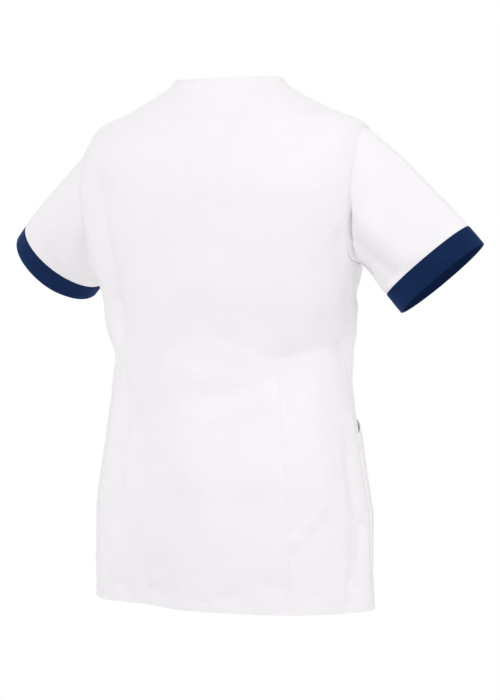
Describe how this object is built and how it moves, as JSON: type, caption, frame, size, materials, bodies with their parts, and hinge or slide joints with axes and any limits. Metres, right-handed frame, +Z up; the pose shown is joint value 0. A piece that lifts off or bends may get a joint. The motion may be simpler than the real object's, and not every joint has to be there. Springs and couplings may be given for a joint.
{
  "type": "healthcare jacket",
  "caption": "White short-sleeved healthcare jacket with navy cuffs, collarless V neck, princess-seamed back, buttoned front and patch pockets, held open in its worn shape.",
  "frame": {"origin": "midway between the two side neck points, at the base of the neck, where the wearer's shoulders carry the jacket", "axes": "+Z up along the wearer, +Y towards the wearer's back, so the buttoned front faces -Y; -X is the wearer's right"},
  "size_m": [0.7213, 0.3069, 0.715],
  "materials": {
    "white_twill": "matt, pressed white twill",
    "navy_twill": "matt, pressed navy twill",
    "white_button_plastic": "polished white plastic"
  },
  "bodies": {
    "root": {"back_centre": "white_twill", "back_side_R": "white_twill", "back_side_L": "white_twill", "front_R": "white_twill", "front_L": "white_twill", "sleeve_R": "white_twill", "sleeve_L": "white_twill", "cuff_R": "navy_twill", "cuff_L": "navy_twill", "pocket_R": "white_twill", "pocket_L": "white_twill", "button_1": "white_button_plastic", "button_2": "white_button_plastic", "button_3": "white_button_plastic", "button_4": "white_button_plastic", "button_5": "white_button_plastic"}
  },
  "joints": []
}
